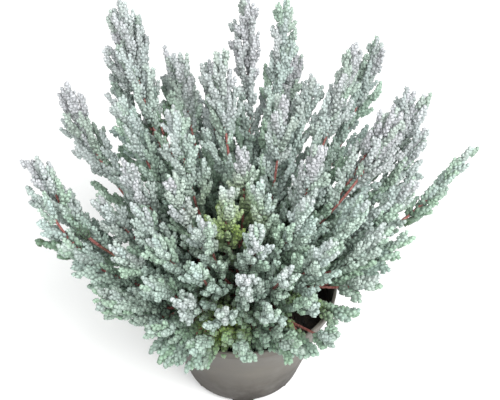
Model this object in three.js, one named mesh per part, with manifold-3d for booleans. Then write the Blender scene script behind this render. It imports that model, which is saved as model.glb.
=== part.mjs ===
// Silver-leaved heather in a round plastic nursery pot.
//
// One body of woody growth, the crown with its bare lower stems, stands in a hole in the peat. Each stem
// carries one leafy shoot: a knobbly, leaf-covered axis with short side shoots set round it in a spiral.
// Millimetres, +Z up. The origin is the middle of the pot's base, and +Y points to the back of the plant.

import * as THREE from 'three';
import { mergeVertices } from 'three/addons/utils/BufferGeometryUtils.js';
import Module from 'manifold-3d';

const wasm = await Module();
wasm.setup();

// ---- Driving dimensions ----

const GAP = 0.3; // clearance between pieces that touch

const POT_HEIGHT = 84;
const POT_RIM_RADIUS = 65;
const POT_BASE_RADIUS = 40;
const POT_WALL = 1.4;
const POT_SIDES = 32;
const RIM_BAND_HEIGHT = 7;
const RIM_LIP_WIDTH = 2.4;
const RIM_STEP = 2; // how far the rim band stands out from the wall below it
const FLOOR_LIFT = 4; // the floor's underside above the ground
const FOOT_COUNT = 6;
const FOOT_WIDTH = 15;
const FOOT_DEPTH = 7;
const PAD_RADIUS = 11; // the middle pad under the floor, which also stands on the ground
const DRAIN_RADIUS = 3.2;
const DRAIN_CIRCLE = 27;

const SOIL_TOP = 71;
const SOIL_RELIEF = 1.6; // height of the lumps in the peat
const SOIL_SIDES = 24;
const SOIL_RINGS = 4;

const CROWN_TOP = 78; // the stems part from the height of this point, inside the crown's dome
const CROWN_RADIUS = 12;
const CROWN_DOME = 9; // radius of the dome that the stems leave
const CROWN_DEPTH = 9; // how far the crown reaches into the peat
const CROWN_SPREAD = 8; // the stems' roots stand this far out at most

const STEM_ROOT_RADIUS = 1.25;
const STEM_END_RADIUS = 0.85;
const STEM_WAVER = 2.2; // how far a stem strays from its smooth curve
const STEM_SUNK = 5; // how far its root is sunk in the crown
const CROWDED = 30; // the longest bare stretch of the stems that stand close together
const AXIS_RADIUS = 2.6; // a shoot's leaf-covered axis
const AXIS_KNOB_SPACING = 16; // between the knobs along an axis
const AXIS_SWELL = [0.8, 1.15]; // the axis's radius between its knobs and at them, as shares
const AXIS_SIDES = 4;

const SIDE_FIRST = 4; // from the lowest leaf to the first side shoot
const SIDE_SPACING = 12; // between side shoots along a shoot
const SIDE_TURN = THREE.MathUtils.degToRad(275); // round the axis from one side shoot to the next
const SIDE_NUDGES = [0, 0.6, -0.6, 1.2, -1.2]; // turns from that place that a crowded side shoot tries
const SIDE_PARTS = [1, 0.85, 0.7, 0.55, 0.4]; // and the shares of its length
const SIDE_LONGEST = 36;
const SIDE_SHORTEST = 7;
const SIDE_TAPER = 0.4; // a side shoot's gain in length for each millimetre below the tip, as a rule
const SIDE_RADIUS = 3.2;
const SIDE_SIDES = 3;
const SIDE_ROOT = 1.5; // how deep a side shoot's root is sunk in the axis
const JOIN_TRIES = 12; // the side shoots thin by one part in THINNING until they join soundly
const THINNING = 200;
const SIDE_LEAN_LOW = 38; // degrees from the axis, low on the shoot
const SIDE_LEAN_HIGH = 26; // and near its tip

// The shoots stand in tiers, and each stem is an arc. lean is the angle from upright, in degrees, at which a
// shoot's tip is seen from the crown. The stem leaves the crown at lean + bend and its tip stands at
// lean - bend. Its leaves begin bare millimetres along it, and its side shoots are taper millimetres longer
// for each millimetre below the tip. Each shoot is [azimuth in degrees from +X, straight distance from crown
// to tip, what differs from its tier].
const TIERS = [
  { lean: 7, bend: 3, bare: 20, shoots: [[95, 108], [215, 96], [325, 100]] },
  {
    lean: 22,
    bend: 12,
    bare: 22,
    shoots: [[14, 124], [61, 134], [101, 159], [145, 136], [190, 110], [235, 105], [280, 105], [327, 112]],
  },
  {
    lean: 36,
    bend: 20,
    bare: 30,
    shoots: [
      [18, 161], [47, 176], [60, 147], [77, 192], [88, 191, { bare: 38 }], [114, 159], [131, 205], [148, 150],
      [168, 118], [192, 106], [218, 103], [245, 100], [270, 98], [295, 100], [320, 108], [346, 116],
    ],
  },
  {
    lean: 49,
    bend: 25,
    bare: 26,
    shoots: [
      [5, 134], [30, 172], [51, 190], [72, 162], [102, 156], [117, 150], [132, 164],
      [150, 176, { lean: 47, bend: 32 }], [178, 114], [202, 104], [222, 96], [242, 91], [262, 88], [282, 88],
      [303, 92], [338, 96, { lean: 62, bend: 6 }], [350, 107],
    ],
  },
  {
    lean: 61,
    bend: 25,
    bare: 26,
    shoots: [
      [16, 174, { bend: 31, bare: 108, taper: 0.05 }], [80, 130], [125, 135],
      [178, 162, { lean: 49, bend: 38 }], [191, 123], [356, 113],
    ],
  },
  {
    lean: 66,
    bend: 23,
    bare: 24,
    shoots: [
      [212, 106], [231, 92], [251, 86], [271, 84], [291, 86], [306, 95],
      [330, 80, { lean: 72, bend: 18 }],
    ],
  },
];

// Two gaps in the foliage, through which the peat shows. Side shoots stay OPEN_RADIUS away from these lines.
const OPEN_RADIUS = 6;
const OPEN_LINES = [
  [[56, 1, 73], [51, -40, 114]],
  [[44, -27, 73], [41, -58, 107]],
];

const COLOURS = {
  pot: 0x86837d,
  soil: 0x2a211a,
  wood: 0x7a4038,
  leaf: 0x9fb5a8,
};

// ---- Small tools ----

// Repeatable draws from 0 to 1, one series for each seed.
function series(seed) {
  let state = seed >>> 0;
  return () => {
    state = (Math.imul(state, 1664525) + 1013904223) >>> 0;
    return state / 4294967296;
  };
}

function solid(geometry) {
  const bare = geometry.index ? geometry.toNonIndexed() : geometry.clone();
  bare.deleteAttribute('normal');
  bare.deleteAttribute('uv');
  const merged = mergeVertices(bare, 1e-4);
  const corners = merged.index.array;
  const kept = [];
  for (let i = 0; i < corners.length; i += 3) {
    const [a, b, c] = corners.slice(i, i + 3);
    if (a !== b && b !== c && c !== a) kept.push(a, b, c);
  }
  return new wasm.Manifold(new wasm.Mesh({
    numProp: 3,
    vertProperties: new Float32Array(merged.attributes.position.array),
    triVerts: new Uint32Array(kept),
  }));
}

function geometryOf(body) {
  const made = body.getMesh();
  const positions = new Float32Array(made.numVert * 3);
  for (let i = 0; i < made.numVert; i += 1) {
    positions.set(made.vertProperties.subarray(i * made.numProp, i * made.numProp + 3), i * 3);
  }
  const geometry = new THREE.BufferGeometry();
  geometry.setAttribute('position', new THREE.BufferAttribute(positions, 3));
  geometry.setIndex(new THREE.BufferAttribute(new Uint32Array(made.triVerts), 1));
  return geometry;
}

// Whether a body stays one closed surface when corners less than a thousandth of a millimetre apart merge.
function sound(body) {
  const corners = mergeVertices(geometryOf(body).toNonIndexed(), 1e-3).index.array;
  const uses = new Map();
  for (let i = 0; i < corners.length; i += 3) {
    const face = corners.slice(i, i + 3);
    if (new Set(face).size < 3) continue;
    for (let k = 0; k < 3; k += 1) {
      const edge = [face[k], face[(k + 1) % 3]].sort((a, b) => a - b).join();
      uses.set(edge, (uses.get(edge) ?? 0) + 1);
    }
  }
  return [...uses.values()].every((count) => count === 2);
}

function meshOf(name, body, colour, roughness) {
  const geometry = geometryOf(body);
  geometry.computeVertexNormals();
  const material = new THREE.MeshStandardMaterial({ color: colour, roughness, metalness: 0, flatShading: true });
  const mesh = new THREE.Mesh(geometry, material);
  mesh.name = name;
  return mesh;
}

function joined(bodies) {
  return wasm.Manifold.union(bodies);
}

// A lathe profile given as [radius, height] pairs, turned about +Z.
function turned(profile, sides) {
  const geometry = new THREE.LatheGeometry(profile.map(([r, z]) => new THREE.Vector2(r, z)), sides);
  return geometry.rotateX(Math.PI / 2);
}

// A round-sectioned growth through the given points, pointed at both ends, with a radius at each inner point.
function growth(points, radii, sides, roll = 0) {
  const last = points.length - 1;
  const positions = [...points[0].toArray()];
  const side = new THREE.Vector3();
  const along = new THREE.Vector3();
  for (let i = 1; i < last; i += 1) {
    along.subVectors(points[i + 1], points[i - 1]).normalize();
    const reference = Math.abs(along.z) < 0.9 ? new THREE.Vector3(0, 0, 1) : new THREE.Vector3(1, 0, 0);
    side.crossVectors(reference, along).normalize();
    for (let k = 0; k < sides; k += 1) {
      const spoke = side.clone().applyAxisAngle(along, roll + (k * 2 * Math.PI) / sides);
      positions.push(...points[i].clone().addScaledVector(spoke, radii[i]).toArray());
    }
  }
  positions.push(...points[last].toArray());
  const ring = (i, k) => 1 + (i - 1) * sides + (k % sides);
  const end = 1 + (last - 1) * sides;
  const corners = [];
  for (let k = 0; k < sides; k += 1) {
    corners.push(0, ring(1, k + 1), ring(1, k));
    for (let i = 1; i < last - 1; i += 1) {
      corners.push(ring(i, k), ring(i, k + 1), ring(i + 1, k + 1));
      corners.push(ring(i, k), ring(i + 1, k + 1), ring(i + 1, k));
    }
    corners.push(end, ring(last - 1, k), ring(last - 1, k + 1));
  }
  const geometry = new THREE.BufferGeometry();
  geometry.setAttribute('position', new THREE.Float32BufferAttribute(positions, 3));
  geometry.setIndex(corners);
  return geometry;
}

// ---- Pot ----

// The outside radius of the wall at a height.
function wallRadius(z) {
  const top = POT_RIM_RADIUS - RIM_STEP;
  return POT_BASE_RADIUS + ((top - POT_BASE_RADIUS) * z) / (POT_HEIGHT - RIM_BAND_HEIGHT);
}

function pot() {
  const floorTop = FLOOR_LIFT + POT_WALL;
  const bandFoot = POT_HEIGHT - RIM_BAND_HEIGHT;
  const shell = solid(turned([
    [0, FLOOR_LIFT],
    [wallRadius(FLOOR_LIFT), FLOOR_LIFT],
    [wallRadius(bandFoot), bandFoot],
    [POT_RIM_RADIUS - 0.6, bandFoot + 0.8],
    [POT_RIM_RADIUS, POT_HEIGHT - 0.7],
    [POT_RIM_RADIUS - 0.8, POT_HEIGHT],
    [POT_RIM_RADIUS - RIM_LIP_WIDTH, POT_HEIGHT],
    [wallRadius(bandFoot) - POT_WALL, bandFoot - 2],
    [wallRadius(floorTop + 2) - POT_WALL, floorTop + 2],
    [wallRadius(floorTop) - POT_WALL - 2, floorTop],
    [0, floorTop],
  ], POT_SIDES));
  const added = [solid(turned([[0, 0], [PAD_RADIUS, 0], [PAD_RADIUS + 1, floorTop - 0.4], [0, floorTop - 0.4]], 16))];
  const drains = [];
  for (let i = 0; i < FOOT_COUNT; i += 1) {
    const turn = (i * 2 * Math.PI) / FOOT_COUNT - Math.PI / 2;
    const foot = new THREE.BoxGeometry(FOOT_DEPTH, FOOT_WIDTH, FLOOR_LIFT + 1);
    foot.translate(POT_BASE_RADIUS - FOOT_DEPTH / 2 - 0.8, 0, (FLOOR_LIFT + 1) / 2);
    added.push(solid(foot.rotateZ(turn)));
    const drain = new THREE.CylinderGeometry(DRAIN_RADIUS, DRAIN_RADIUS, 6 * POT_WALL, 8);
    drain.rotateX(Math.PI / 2).translate(DRAIN_CIRCLE, 0, FLOOR_LIFT);
    drains.push(solid(drain.rotateZ(turn + Math.PI / FOOT_COUNT)));
  }
  return joined([shell, ...added]).subtract(joined(drains));
}

// ---- Peat ----

function soil() {
  const floor = FLOOR_LIFT + POT_WALL + GAP;
  const inside = (z) => wallRadius(z) - POT_WALL - GAP;
  const profile = [[0, floor], [inside(floor) - 2.2, floor], [inside(floor + 2.2), floor + 2.2], [inside(SOIL_TOP - 3), SOIL_TOP - 3]];
  for (let i = SOIL_RINGS - 1; i > 0; i -= 1) profile.push([(inside(SOIL_TOP) * i) / SOIL_RINGS, SOIL_TOP]);
  profile.push([0, SOIL_TOP]);
  const geometry = turned(profile, SOIL_SIDES);
  const place = geometry.attributes.position;
  for (let i = 0; i < place.count; i += 1) {
    const [x, y, z] = [place.getX(i), place.getY(i), place.getZ(i)];
    if (z < SOIL_TOP - 1) continue;
    place.setZ(i, z + SOIL_RELIEF * Math.sin(0.31 * x + 0.6) * Math.cos(0.27 * y - 0.4));
  }
  const hole = new THREE.CylinderGeometry(CROWN_RADIUS + GAP, CROWN_RADIUS + GAP, 2 * CROWN_DEPTH, 12);
  hole.rotateX(Math.PI / 2).translate(0, 0, SOIL_TOP);
  return solid(geometry).subtract(solid(hole));
}

// ---- Shoots ----

const SHOOTS = TIERS.flatMap(({ shoots, ...tier }) => shoots.map(([azimuth, reach, own]) => (
  { taper: SIDE_TAPER, ...tier, azimuth, reach, ...own }
)));

// A shoot's middle line, as a function of the distance along it, its length, and two draws that its side
// shoots use.
function route(shoot, number) {
  const draw = series(1000 + 7919 * number);
  const [sway, swing, roll, swell] = [draw(), draw(), draw(), draw()].map((x) => x * 2 * Math.PI);
  const azimuth = THREE.MathUtils.degToRad(shoot.azimuth);
  const lean = THREE.MathUtils.degToRad(shoot.lean);
  const bend = THREE.MathUtils.degToRad(shoot.bend);
  const outward = new THREE.Vector3(Math.cos(azimuth), Math.sin(azimuth), 0);
  const across = new THREE.Vector3(-Math.sin(azimuth), Math.cos(azimuth), 0);
  const root = new THREE.Vector3(0, 0, CROWN_TOP).addScaledVector(outward, CROWN_SPREAD * Math.sin(lean + bend));
  const length = (shoot.reach * bend) / Math.sin(bend);
  const at = (distance) => {
    const u = distance / length;
    const angle = lean + bend * (1 - u);
    const chord = (shoot.reach * Math.sin(bend * u)) / Math.sin(bend);
    const waver = STEM_WAVER * Math.min(1, distance / 60);
    const inOut = waver * Math.sin(5 * u + sway);
    return root.clone()
      .addScaledVector(outward, chord * Math.sin(angle) + inOut * Math.cos(angle))
      .addScaledVector(across, waver * Math.sin(4 * u + swing))
      .add(new THREE.Vector3(0, 0, chord * Math.cos(angle) - inOut * Math.sin(angle)));
  };
  return { at, length, leafyFrom: shoot.bare, taper: shoot.taper, roll, swell };
}

// The bare lower stem, from inside the crown to where the leaves begin.
function bareStem({ at, leafyFrom }) {
  const end = leafyFrom - GAP;
  const bends = leafyFrom > CROWDED ? [0.3, 0.5, 0.7, 0.85].map((share) => share * end) : [];
  const stations = [-STEM_SUNK, 1, ...bends, end - 0.7, end];
  const radii = stations.map((distance) => THREE.MathUtils.mapLinear(distance, 1, end, STEM_ROOT_RADIUS, STEM_END_RADIUS));
  return solid(growth(stations.map(at), [0, ...radii.slice(1, -1), 0], 3));
}

// The leaf-covered axis of a shoot, swollen in knobs.
function leafyAxis({ at, length, leafyFrom }) {
  const leafy = length - leafyFrom;
  const knobs = Math.max(2, Math.round(leafy / AXIS_KNOB_SPACING));
  const points = [at(leafyFrom)];
  const radii = [0];
  for (let i = 0; i < 2 * knobs; i += 1) {
    const share = (i + 0.5) / (2 * knobs);
    points.push(at(leafyFrom + leafy * share));
    radii.push(AXIS_RADIUS * AXIS_SWELL[i % 2]);
  }
  points.push(at(length));
  radii.push(0);
  return solid(growth(points, radii, AXIS_SIDES));
}

// The same axis as straight stretches, with a long bare stem, for telling what is in a side shoot's way.
function axisStretches({ at, length, leafyFrom }) {
  const stretches = [];
  const first = Math.min(leafyFrom, CROWDED);
  const step = (length - first) / 6;
  for (let i = 0; i < 6; i += 1) {
    const start = first + i * step;
    stretches.push({ start: at(start), end: at(start + step), radius: 1.2 * AXIS_RADIUS });
  }
  return stretches;
}

// A side shoot as a straight stretch: number `order` from the bottom, turned a little from its place in the spiral.
function sideShoot({ at, length, leafyFrom, taper, roll, swell }, order, nudge) {
  const distance = leafyFrom + SIDE_FIRST + order * SIDE_SPACING;
  const height = (distance - leafyFrom) / (length - leafyFrom);
  const along = at(distance + 1).sub(at(distance - 1)).normalize();
  const reference = Math.abs(along.z) < 0.9 ? new THREE.Vector3(0, 0, 1) : new THREE.Vector3(1, 0, 0);
  const spoke = new THREE.Vector3().crossVectors(reference, along).normalize()
    .applyAxisAngle(along, roll + order * SIDE_TURN + 0.25 * Math.sin(5 * order + swell) + nudge);
  const lean = THREE.MathUtils.degToRad(SIDE_LEAN_LOW + (SIDE_LEAN_HIGH - SIDE_LEAN_LOW) * height);
  const full = Math.min(SIDE_LONGEST, SIDE_SHORTEST + taper * (length - distance));
  const grown = full * (1 + 0.15 * Math.sin(3 * order + swell));
  const heading = along.clone().multiplyScalar(Math.cos(lean)).addScaledVector(spoke, Math.sin(lean));
  return { start: at(distance), heading, length: grown };
}

// The shortest distance between two straight stretches.
function gapBetween(a, b) {
  const [u, v, w] = [b.end.clone().sub(b.start), a.end.clone().sub(a.start), a.start.clone().sub(b.start)];
  const [uu, vv, uv, uw, vw] = [u.dot(u), v.dot(v), u.dot(v), u.dot(w), v.dot(w)];
  const span = uu * vv - uv * uv;
  let t = span > 1e-9 ? THREE.MathUtils.clamp((uv * uw - uu * vw) / span, 0, 1) : 0;
  const s = THREE.MathUtils.clamp((uv * t + uw) / uu, 0, 1);
  t = THREE.MathUtils.clamp((uv * s - vw) / vv, 0, 1);
  return w.addScaledVector(v, t).addScaledVector(u, -s).length();
}

// Whether a point of the foliage, with its thickness round it, is clear of the peat and the pot.
function clearOfPot(point, radius) {
  const across = Math.hypot(point.x, point.y);
  const bottom = point.z - radius - GAP;
  if (across < POT_RIM_RADIUS - RIM_LIP_WIDTH - radius - 2) return bottom > SOIL_TOP + SOIL_RELIEF;
  if (across < POT_RIM_RADIUS + radius + GAP) return bottom > POT_HEIGHT;
  return true;
}

// The side shoots that a shoot has room for. Each grows where it can reach furthest, among a few turns
// about its place in the spiral, and stops short of what is in its way.
function grownSides(path, others) {
  const grown = [];
  const count = Math.floor((path.length - path.leafyFrom - SIDE_FIRST) / SIDE_SPACING);
  for (let order = 0; order < count; order += 1) {
    let best = null;
    for (const nudge of SIDE_NUDGES) {
      const { start, heading, length } = sideShoot(path, order, nudge);
      const radius = SIDE_RADIUS * (0.75 + 0.25 * Math.min(1, length / 12));
      const fits = (part) => {
        const end = start.clone().addScaledVector(heading, part * length);
        const tried = { start: start.clone().addScaledVector(heading, AXIS_RADIUS + 0.5), end, radius };
        const along = [0.15, 0.35, 0.55, 0.75, 1].map((share) => start.clone().lerp(end, share));
        return along.every((point) => clearOfPot(point, radius))
          && others.every((other) => gapBetween(tried, other) > radius + other.radius + GAP);
      };
      const part = SIDE_PARTS.find(fits);
      if (part && (!best || part > best.part)) best = { part, start, heading, length: part * length, radius };
    }
    if (best) grown.push({ ...best, end: best.start.clone().addScaledVector(best.heading, best.length) });
  }
  return grown;
}

function leafyShoot(axis, sides) {
  for (let attempt = 0; attempt < JOIN_TRIES; attempt += 1) {
    const thinner = 1 - attempt / THINNING;
    const body = joined([axis, ...sides.map(({ start, heading, length, radius }) => {
      const root = start.clone().addScaledVector(heading, -SIDE_ROOT);
      const middle = start.clone().addScaledVector(heading, 0.6 * length);
      const tip = start.clone().addScaledVector(heading, length);
      return solid(growth([root, middle, tip], [0, radius * thinner, 0], SIDE_SIDES));
    })]);
    if (sound(body)) return body;
  }
  throw new Error('a leafy shoot has no sound join');
}

// ---- Assembly ----

const plant = new THREE.Group();

function place(name, body, colour, roughness) {
  plant.add(meshOf(name, body, colour, roughness));
}

const crown = solid(turned([
  [0, SOIL_TOP - CROWN_DEPTH + GAP],
  [CROWN_RADIUS - 3, SOIL_TOP - CROWN_DEPTH + GAP],
  [CROWN_RADIUS, SOIL_TOP - 3],
  [CROWN_RADIUS - 0.5, CROWN_TOP - 2],
  [CROWN_DOME, CROWN_TOP + 0.4 * CROWN_DOME],
  [0.6 * CROWN_DOME, CROWN_TOP + 0.85 * CROWN_DOME],
  [0, CROWN_TOP + CROWN_DOME],
], 12));
const paths = SHOOTS.map((shoot, i) => route(shoot, i + 1));
const stretches = paths.map(axisStretches);
const open = OPEN_LINES.map(([start, end]) => (
  { start: new THREE.Vector3(...start), end: new THREE.Vector3(...end), radius: OPEN_RADIUS }
));

place('pot', pot(), COLOURS.pot, 0.55);
place('soil', soil(), COLOURS.soil, 1);
place('woody_crown', joined([crown, ...paths.map(bareStem)]), COLOURS.wood, 0.8);
paths.forEach((path, i) => {
  const others = stretches.flatMap((other, k) => (k === i ? [] : other));
  const sides = grownSides(path, [...open, ...others]);
  stretches[i].push(...sides);
  const name = `leafy_shoot_${String(i + 1).padStart(2, '0')}`;
  place(name, leafyShoot(leafyAxis(path), sides), COLOURS.leaf, 0.85);
});

export default plant;
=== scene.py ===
# %% [markdown]
# # A silver-leaved heather in its nursery pot
# The plant is a little bush: a woody crown in dark peat, and from it 57 stems that arch outwards and then
# stand up as leafy plumes. The construction model already holds the pot, the peat, the crown and a plain
# solid for every plume. Here each of them gets its finished surface: a moulded pot, crumbly peat, red-brown
# bark, and plumes clothed in tens of thousands of small scale leaves. Low and slight stems, which have no
# solid of their own, fill the bush between them. Lengths are in millimetres until a mesh is made, because
# that is how a plant is measured.

# %% The construction model
import math

import bmesh
import bpy
import numpy as np
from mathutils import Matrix, Vector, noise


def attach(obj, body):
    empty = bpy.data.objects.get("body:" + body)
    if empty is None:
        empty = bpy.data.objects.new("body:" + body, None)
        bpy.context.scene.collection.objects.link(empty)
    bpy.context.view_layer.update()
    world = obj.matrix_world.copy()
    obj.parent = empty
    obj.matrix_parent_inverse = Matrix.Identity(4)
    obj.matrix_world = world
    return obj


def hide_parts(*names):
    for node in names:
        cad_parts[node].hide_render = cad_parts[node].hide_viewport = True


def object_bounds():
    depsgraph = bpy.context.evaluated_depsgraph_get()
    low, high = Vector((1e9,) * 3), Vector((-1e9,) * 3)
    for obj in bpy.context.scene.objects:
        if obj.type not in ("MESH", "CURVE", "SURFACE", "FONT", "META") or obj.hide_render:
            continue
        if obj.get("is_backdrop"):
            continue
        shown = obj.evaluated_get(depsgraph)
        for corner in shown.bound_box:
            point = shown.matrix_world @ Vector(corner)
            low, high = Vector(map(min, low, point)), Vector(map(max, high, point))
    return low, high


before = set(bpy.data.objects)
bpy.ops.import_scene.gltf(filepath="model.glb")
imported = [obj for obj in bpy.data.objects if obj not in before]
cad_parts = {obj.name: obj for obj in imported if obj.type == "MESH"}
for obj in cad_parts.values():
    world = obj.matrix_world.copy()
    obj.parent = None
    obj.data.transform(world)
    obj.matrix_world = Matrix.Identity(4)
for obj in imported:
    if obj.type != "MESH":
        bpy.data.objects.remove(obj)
cad_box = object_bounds()
MM = 0.001  # Blender works in metres
print("construction nodes:", len(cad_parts))

# %% [markdown]
# ## The camera
# The bush is seen from the front and well above, so that the plumes spread like a fan and only the front of
# the pot shows. A long lens from a little over half a metre keeps the pot's rim a calm ellipse.

# %% Camera
AIM = Vector((5, 0, 159)) * MM
DISTANCE = 650 * MM
ELEVATION = math.radians(42)
SENSOR = 36.0
LENS = 73.1

bpy.ops.object.select_all(action="DESELECT")
bpy.ops.object.camera_add(
    location=AIM + DISTANCE * Vector((0, -math.cos(ELEVATION), math.sin(ELEVATION))),
    rotation=(math.pi / 2 - ELEVATION, 0, 0),
)
camera = bpy.context.object
camera.name = "camera"
camera.data.sensor_width = SENSOR
camera.data.lens = LENS
camera.data.dof.use_dof = False
bpy.context.scene.camera = camera
print("camera at", tuple(round(x, 3) for x in camera.location))

# %% [markdown]
# ## Small tools
# A material starts from its sRGB colours as a paint chart gives them, which one function turns to linear
# light. Another adds a node with its settings and its links, so that each material below reads as a short
# list. The rest let go of everything, because an operator acts on all that is selected, move a piece's
# place into its mesh, select the faces that point one way, turn arrays into pieces and join them, and hand
# each finished piece to its body.


# %% Colours and nodes
def linear(colour):
    """A "#rrggbb" colour as linear red, green, blue and alpha."""
    parts = [int(colour[i : i + 2], 16) / 255 for i in (1, 3, 5)]
    return [c / 12.92 if c <= 0.04045 else ((c + 0.055) / 1.055) ** 2.4 for c in parts] + [1.0]


def set_stops(elements, stops):
    """Gives a colour ramp its stops, each a position and a "#rrggbb" colour."""
    while len(elements) < len(stops):
        elements.new(0.5)
    for element, (position, colour) in zip(elements, stops):
        element.position = position
        element.color = linear(colour)


def add(tree, kind, settings=None, **links):
    """Adds a node. Settings are its properties, socket values or colour stops. Links feed its sockets."""
    node = tree.nodes.new(kind)
    for key, value in (settings or {}).items():
        if key == "stops":
            set_stops(node.color_ramp.elements, value)
        elif hasattr(node, key):
            setattr(node, key, value)
        else:
            node.inputs[key].default_value = value
    for key, output in links.items():
        tree.links.new(output, node.inputs[key.replace("_", " ")])
    return node


def new_material(name):
    """A material, its empty node tree, and the output that says where in the object a point lies."""
    material = bpy.data.materials.new(name)
    material.use_nodes = True
    tree = material.node_tree
    tree.nodes.clear()
    return material, tree, add(tree, "ShaderNodeTexCoord").outputs["Object"]


def finish_material(material, surface):
    """Gives a material its surface."""
    add(material.node_tree, "ShaderNodeOutputMaterial", Surface=surface.outputs["BSDF"])
    print("material:", material.name)


# %% Selecting, placing and joining
def let_go():
    """Leaves edit mode and deselects everything."""
    if bpy.context.object and bpy.context.object.mode != "OBJECT":
        bpy.ops.object.mode_set(mode="OBJECT")
    bpy.ops.object.select_all(action="DESELECT")


def settle(piece):
    """Moves a piece's place into its mesh, so that its object sits at the origin."""
    let_go()
    piece.select_set(True)
    bpy.context.view_layer.objects.active = piece
    bpy.ops.object.transform_apply(location=True, rotation=True, scale=True)


def select_facing(piece, way):
    """In edit mode, selects only the faces that point up, for a way of 1, or down, for -1."""
    mesh = bmesh.from_edit_mesh(piece.data)
    for face in mesh.faces:
        face.select_set(way * face.normal.z > 0.9)
    bmesh.update_edit_mesh(piece.data)


def joined_arrays(meshes):
    """Puts meshes given as arrays together into one set of arrays."""
    starts = np.cumsum([0] + [len(mesh[0]) for mesh in meshes[:-1]])
    corners = np.concatenate([mesh[0] for mesh in meshes])
    faces = np.concatenate([mesh[1] + start for mesh, start in zip(meshes, starts)])
    others = [np.concatenate(parts) for parts in zip(*(mesh[2:] for mesh in meshes))]
    return [corners, faces, *others]


def piece_from(name, corners, faces):
    """A new object with a mesh of these corners, in millimetres, and faces."""
    mesh = bpy.data.meshes.new(name)
    mesh.from_pydata(corners * MM, [], faces)
    piece = bpy.data.objects.new(name, mesh)
    bpy.context.scene.collection.objects.link(piece)
    return piece


def take_in(piece, extra):
    """Joins an extra object into a piece and shades it smooth."""
    let_go()
    extra.select_set(True)
    piece.select_set(True)
    bpy.context.view_layer.objects.active = piece
    bpy.ops.object.join()
    bpy.ops.object.shade_smooth()


def hand_over(piece, node, slot, *materials):
    """Gives a finished piece its materials, and lets it stand for its construction node if it has one."""
    if piece.data.materials:
        piece.data.materials.clear()
    for material in materials:
        piece.data.materials.append(material)
    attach(piece, "root")
    if node:
        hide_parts(node)


# %% [markdown]
# ## The pot
# A nursery pot is blown or moulded from thin recycled polypropylene: a tapered wall, a band under the rim, a
# thin lip where the sheet is trimmed, and feet that lift the floor off the bench so that water runs out of
# the drain holes. It could be spun from a profile, but extruding one ring of edges, up the outside and down
# the inside, shows how the wall doubles back on itself, and it leaves clean quads all the way.

# %% The pot's sizes
POT_HEIGHT = 84
RIM_RADIUS = 65
BASE_RADIUS = 40
WALL = 1.4
RIM_BAND = 7
RIM_LIP = 2.4
RIM_STEP = 2
FLOOR_LIFT = 4
FLOOR_TOP = FLOOR_LIFT + WALL
PAD_RADIUS = 11
FOOT_COUNT = 6
FOOT = (7, 15)  # depth and width
FOOT_INSET = 0.8  # from the foot of the wall to a foot's outer face
FOOT_ROUNDING = 0.7
PAD_HEIGHT = FLOOR_TOP - 0.4
DRAIN_RADIUS = 3.2
DRAIN_CIRCLE = 27
POT_RINGS = 128


def wall_radius(z):
    """The outside radius of the pot's wall at a height."""
    return BASE_RADIUS + (RIM_RADIUS - RIM_STEP - BASE_RADIUS) * z / (POT_HEIGHT - RIM_BAND)


band_foot = POT_HEIGHT - RIM_BAND
POT_PROFILE = [
    (wall_radius(FLOOR_LIFT) - 1.2, FLOOR_LIFT),
    (wall_radius(FLOOR_LIFT) - 0.3, FLOOR_LIFT + 0.4),
    (wall_radius(FLOOR_LIFT + 1.2), FLOOR_LIFT + 1.2),
    (wall_radius(30), 30),
    (wall_radius(55), 55),
    (wall_radius(band_foot - 0.5), band_foot - 0.5),
    (wall_radius(band_foot) + 0.4, band_foot + 0.1),
    (RIM_RADIUS - 0.7, band_foot + 0.8),
    (RIM_RADIUS - 0.4, band_foot + 1.4),
    (RIM_RADIUS - 0.3, POT_HEIGHT - 2.2),
    (RIM_RADIUS, POT_HEIGHT - 1.4),
    (RIM_RADIUS, POT_HEIGHT - 0.6),
    (RIM_RADIUS - 0.5, POT_HEIGHT - 0.1),
    (RIM_RADIUS - 1.1, POT_HEIGHT),
    (RIM_RADIUS - RIM_LIP + 0.4, POT_HEIGHT - 0.3),
    (RIM_RADIUS - RIM_LIP, POT_HEIGHT - 1.2),
    (wall_radius(band_foot) - WALL, band_foot - 2),
    (wall_radius(40) - WALL, 40),
    (wall_radius(FLOOR_TOP + 2) - WALL, FLOOR_TOP + 2),
    (wall_radius(FLOOR_TOP) - WALL - 2, FLOOR_TOP),
]

# %% The pot's wall
let_go()
first_radius, first_height = POT_PROFILE[0]
bpy.ops.mesh.primitive_circle_add(
    vertices=POT_RINGS, radius=first_radius * MM, location=(0, 0, first_height * MM), fill_type="NGON"
)
pot = bpy.context.object
pot.name = "nursery_pot"
settle(pot)
bpy.ops.object.mode_set(mode="EDIT")
bpy.ops.mesh.select_mode(type="EDGE")
bpy.ops.mesh.select_all(action="SELECT")
for (r0, z0), (r1, z1) in zip(POT_PROFILE, POT_PROFILE[1:]):
    bpy.ops.mesh.extrude_edges_move(TRANSFORM_OT_translate={"value": (0, 0, (z1 - z0) * MM)})
    bpy.ops.transform.resize(value=(r1 / r0, r1 / r0, 1), center_override=(0, 0, z1 * MM))
bpy.ops.mesh.edge_face_add()
bpy.ops.mesh.select_all(action="SELECT")
bpy.ops.mesh.normals_make_consistent(inside=False)
bpy.ops.object.mode_set(mode="OBJECT")
print("pot wall:", len(pot.data.vertices), "vertices, rim", round(pot.dimensions.x / MM, 1), "mm")


# %% Feet, pad and drain holes
def joined_by(piece, tool, operation):
    """Cuts or joins a piece with a tool, and removes the tool."""
    let_go()
    bpy.context.view_layer.objects.active = piece
    modifier = piece.modifiers.new(operation.lower(), "BOOLEAN")
    modifier.operation = operation
    modifier.object = tool
    modifier.solver = "EXACT"
    bpy.ops.object.modifier_apply(modifier=modifier.name)
    bpy.data.objects.remove(tool)


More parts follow.
